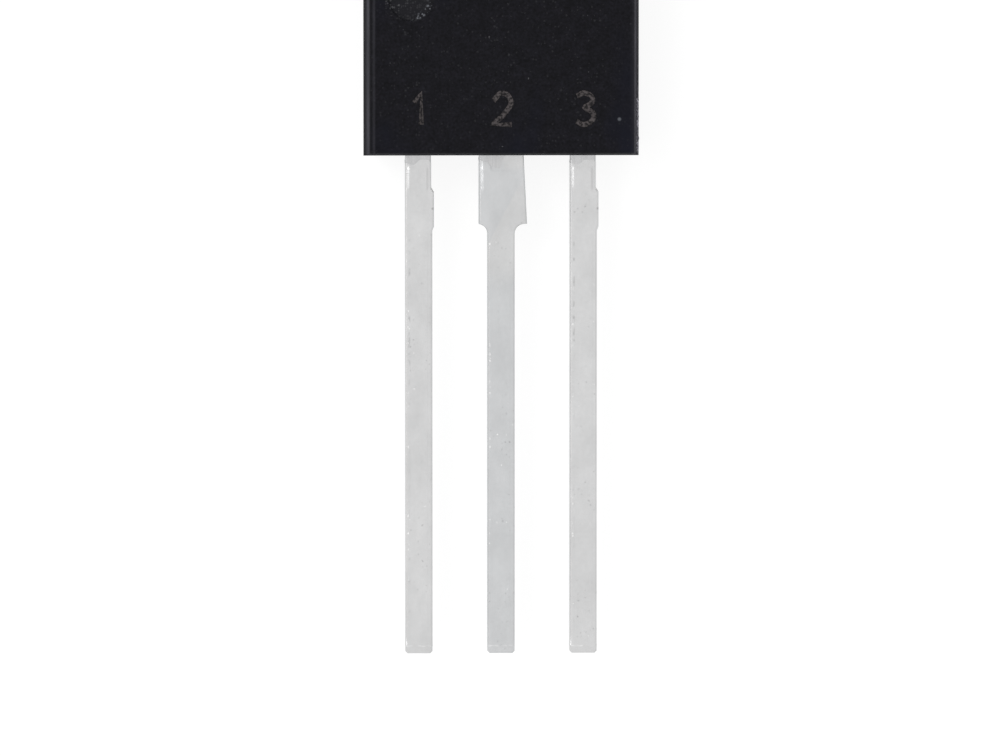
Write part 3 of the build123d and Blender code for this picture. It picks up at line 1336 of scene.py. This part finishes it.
@dataclass
class Studio:
    """A pale floor, soft light from above and the left, and the camera high over the leads."""

    floor_size: float = 4.0
    floor_gap: float = 0.02 * MM
    floor_colour: Colour = (0.22, 0.22, 0.22, 1)
    floor_glow: float = 0.86
    contact_reach: float = 0.3 * MM
    world_light: float = 0.76
    horizon_share: float = 0.93
    sky_heights: tuple[float, float] = (-0.1, 0.75)
    right_share: float = 0.87
    right_start: tuple[float, float] = (0.2, 0.4)
    right_end: tuple[float, float] = (0.85, 0.55)
    lamp_size: float = 0.16
    lamp_power: float = 0.3
    lamp_place: Vector = Vector((-0.17, 0.09, 0.27))
    camera_place: Vector = Vector((-9.1, 10.0, 290.0)) * MM
    camera_aim: Vector = Vector((-0.03, -13.005, 1.55)) * MM
    camera_range: tuple[float, float] = (0.01, 20.0)
    lens: float = 374.5

    def build(self) -> None:
        """Set up everything round the part."""
        self.build_floor()
        self.build_world()
        self.build_lamp()
        self.place_camera()
        bpy.context.scene.view_settings.view_transform = "Standard"

    def build_floor(self) -> None:
        """Lay a pale floor that looks white, keeps a soft shadow and is clear from below."""
        bpy.ops.object.select_all(action="DESELECT")
        bpy.ops.mesh.primitive_plane_add(size=self.floor_size, location=(0, 0, -self.floor_gap))
        floor = bpy.context.object
        floor.name = "studio_floor"
        material = bpy.data.materials.new("studio_floor")
        bench = NodeBench.on(material)
        paper = bench.add("ShaderNodeBsdfDiffuse", {"Color": self.floor_colour})
        ray_length = bench.add("ShaderNodeLightPath").outputs["Ray Length"]
        under_part = bench.math("LESS_THAN", ray_length, self.contact_reach)
        lit = bench.times(bench.most(self.seen_rays(bench), under_part), self.floor_glow)
        lift = bench.add("ShaderNodeEmission", {"Color": WHITE, "Strength": lit})
        both = bench.add("ShaderNodeAddShader", {0: paper.outputs[0], 1: lift.outputs[0]})
        below = bench.add("ShaderNodeNewGeometry").outputs["Backfacing"]
        clear = bench.add("ShaderNodeBsdfTransparent")
        inputs = {0: below, 1: both.outputs[0], 2: clear.outputs[0]}
        sided = bench.add("ShaderNodeMixShader", inputs)
        bench.add("ShaderNodeOutputMaterial", {"Surface": sided.outputs[0]})
        floor.data.materials.append(material)

    @staticmethod
    def seen_rays(bench: NodeBench) -> Socket:
        """Tell the rays that see the background, straight or in metal, from those that light."""
        path = bench.add("ShaderNodeLightPath").outputs
        return bench.most(*(path[f"Is {kind} Ray"] for kind in ("Camera", "Glossy", "Transmission")))

    def build_world(self) -> None:
        """Light from all round, seen as white; metal sees less at the horizon and on the right."""
        world = bpy.data.worlds.new("studio")
        bpy.context.scene.world = world
        bench = NodeBench.on(world)
        direction = bench.add("ShaderNodeTexCoord").outputs["Generated"]
        toward = bench.add("ShaderNodeSeparateXYZ", {0: direction}).outputs
        height = bench.ease(toward["Z"], *self.sky_heights, self.horizon_share, 1.0)
        start, end = (bench.ease(toward["X"], *step) for step in (self.right_start, self.right_end))
        on_right = bench.times(start, end)
        sky = bench.times(height, bench.ease(on_right, 0.0, 1.0, 1.0, self.right_share))
        level = bench.between(self.seen_rays(bench), self.world_light, 1.0)
        camera_only = bench.add("ShaderNodeLightPath").outputs["Is Camera Ray"]
        strength = bench.between(camera_only, bench.times(level, sky), 1.0)
        light = bench.add("ShaderNodeBackground", {"Color": WHITE, "Strength": strength})
        bench.add("ShaderNodeOutputWorld", {"Surface": light.outputs[0]})

    def build_lamp(self) -> None:
        """Hang a square softbox up on the left, aimed at the middle of the part."""
        bpy.ops.object.light_add(type="AREA", location=self.lamp_place)
        lamp = bpy.context.object
        lamp.name = "softbox"
        lamp.data.size = self.lamp_size
        lamp.data.energy = self.lamp_power
        lamp.rotation_euler = (self.camera_aim - self.lamp_place).to_track_quat("-Z", "Y").to_euler()

    def place_camera(self) -> None:
        """Look down on the part with the leads pointing down the picture."""
        bpy.ops.object.camera_add()
        camera = bpy.context.object
        camera.name = "camera"
        back = (self.camera_place - self.camera_aim).normalized()
        right = Vector((0, 1, 0)).cross(back).normalized()
        turn = Matrix((right, back.cross(right), back)).transposed().to_4x4()
        camera.matrix_world = Matrix.Translation(self.camera_place) @ turn
        camera.data.lens = self.lens
        camera.data.clip_start, camera.data.clip_end = self.camera_range
        bpy.context.scene.camera = camera


def main() -> None:
    """Build the studio, then the part, piece by piece."""
    logging.basicConfig(level=logging.INFO, format="%(name)s: %(message)s")
    for assembly in (Studio(), MouldedBody(), LeadSet(), InnerWorks()):
        LOG.info("building %s", type(assembly).__name__)
        assembly.build()


if __name__ == "__main__":
    main()
